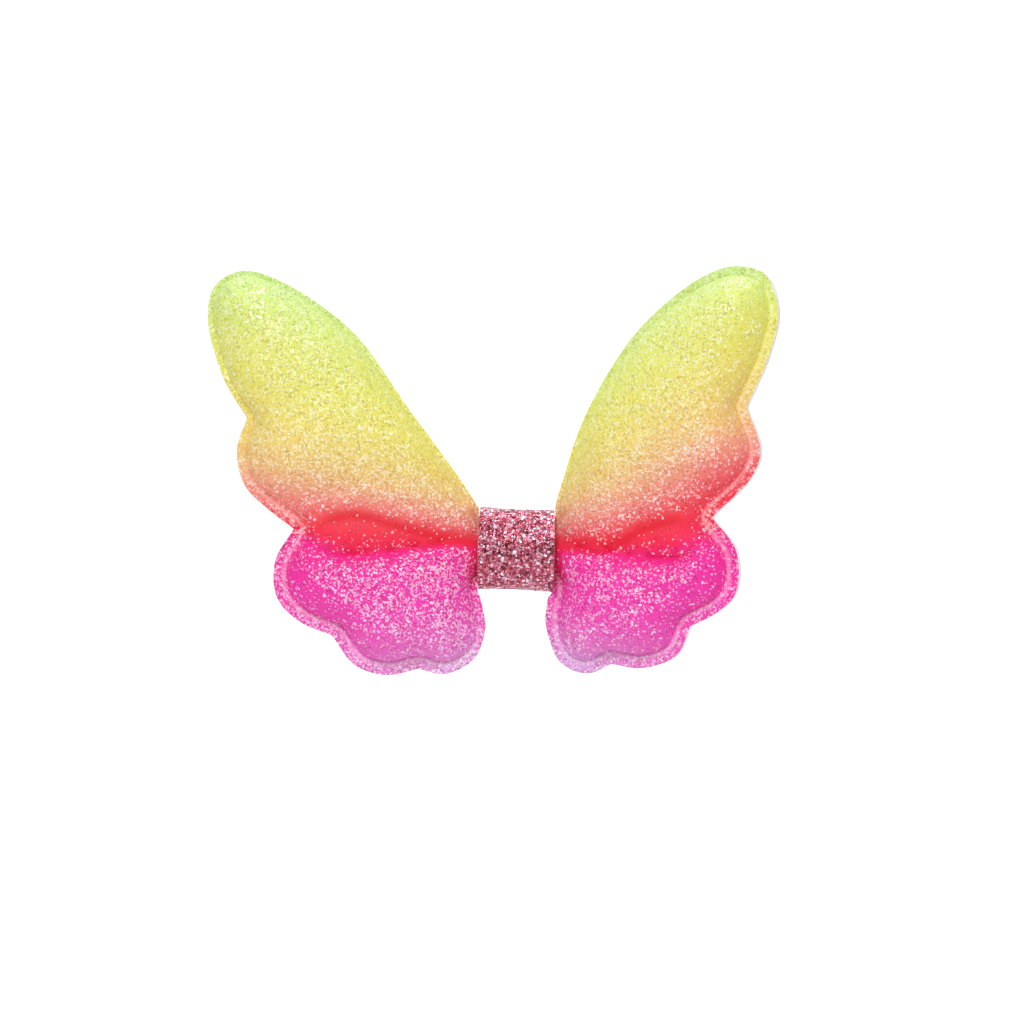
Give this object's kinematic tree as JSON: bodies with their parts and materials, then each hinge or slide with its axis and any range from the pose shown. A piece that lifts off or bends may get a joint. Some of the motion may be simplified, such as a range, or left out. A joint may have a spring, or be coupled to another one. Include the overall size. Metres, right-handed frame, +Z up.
{
  "type": "fairy wings hair clip",
  "caption": "Padded glitter butterfly wings gathered by a glitter band onto a sprung metal hair clip.",
  "frame": {"origin": "centre of the clip's grip: behind the middle of the band, on the lined inner face of the upper jaw", "axes": "+X across the wings to the viewer's right, +Z up the wings, -Y out of the front of the wings"},
  "size_m": [0.0742, 0.0263, 0.053],
  "materials": {
    "glitter_fabric": "printed green to yellow to red to violet, covered in fine glitter",
    "wadding": "white fibre wadding",
    "backing_fabric": "matte non-woven fabric",
    "glitter_leatherette": "chunky rose glitter on leatherette, pale cut edges",
    "thread": "twisted polyester",
    "hot_glue": "milky, smooth",
    "ribbon": "ribbed grosgrain",
    "nickel_steel": "bright nickel plate"
  },
  "bodies": {
    "wings": {"wing_cover": "glitter_fabric", "wing_padding": "wadding", "wing_backing": "backing_fabric", "waist_thread": "thread", "centre_band": "glitter_leatherette", "band_glue": "hot_glue", "clip_glue_pad": "hot_glue", "clip_ribbon": "ribbon", "clip_upper_jaw": "nickel_steel", "clip_rivet": "nickel_steel", "clip_spring": "nickel_steel"},
    "lower_jaw": {"clip_lower_jaw": "nickel_steel"}
  },
  "joints": [
    {"name": "jaw_hinge", "type": "hinge", "parent": "wings", "child": "lower_jaw", "pos_m": [0.01, 0.0019, 0], "axis": [0, 0, -1], "range_deg": [0, 50], "stiffness_Nm_per_rad": 0.02, "springref_deg": -85.94, "deforming": ["clip_spring"]}
  ]
}
